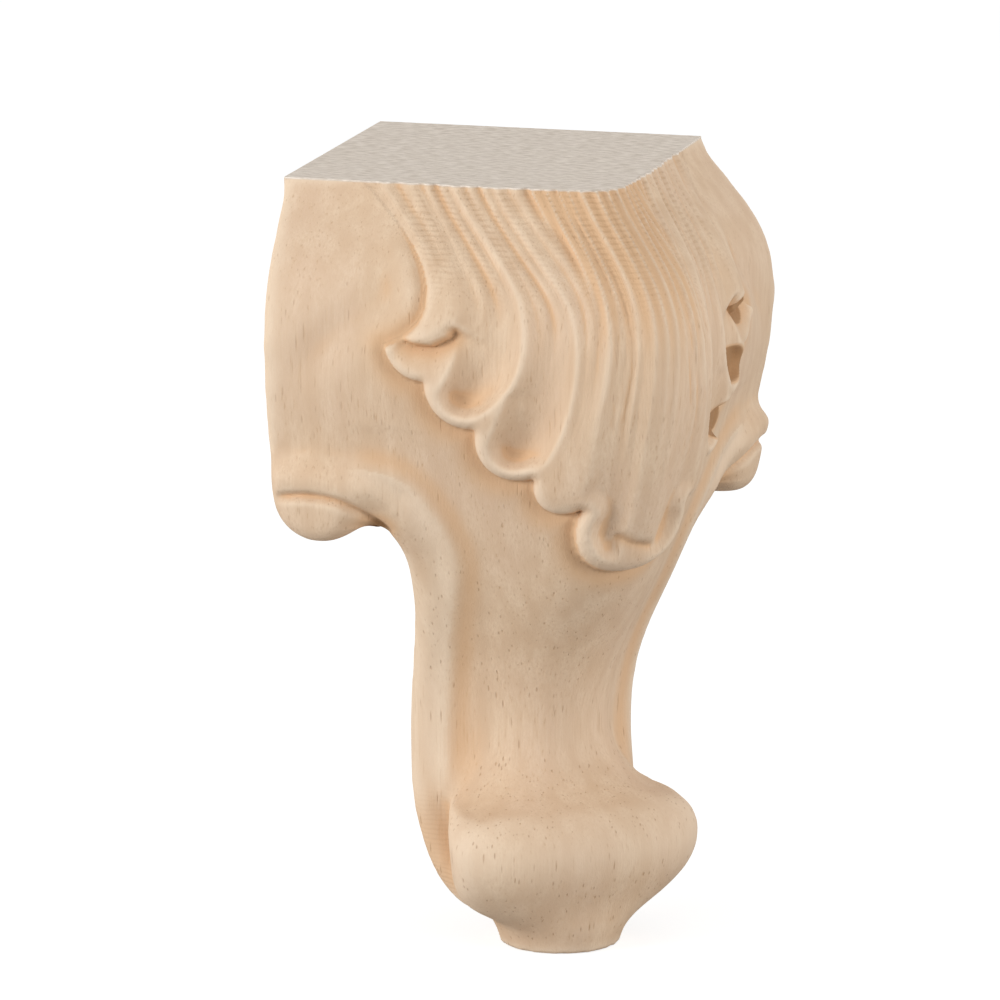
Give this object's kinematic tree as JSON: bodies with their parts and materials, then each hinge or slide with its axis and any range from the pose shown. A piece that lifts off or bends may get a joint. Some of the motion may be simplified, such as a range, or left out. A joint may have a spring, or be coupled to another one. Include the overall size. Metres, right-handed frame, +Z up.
{
  "type": "carved furniture leg",
  "caption": "Short carved wooden cabriole leg with an acanthus leaf on the knee, scrolled edges and a rolled toe on a round pad. Its flat top is fixed under a sofa or cabinet.",
  "frame": {"origin": "centre of the flat square top face that meets the furniture", "axes": "+Z up, out of the top face; the two show faces look along -Y and +X, and the front corner with the leaf points along +X -Y"},
  "size_m": [0.0558, 0.0558, 0.1],
  "materials": {
    "wood": "pale unfinished wood, sanded, with fine brown pores"
  },
  "bodies": {
    "root": {"carved_leg": "wood"}
  },
  "joints": []
}
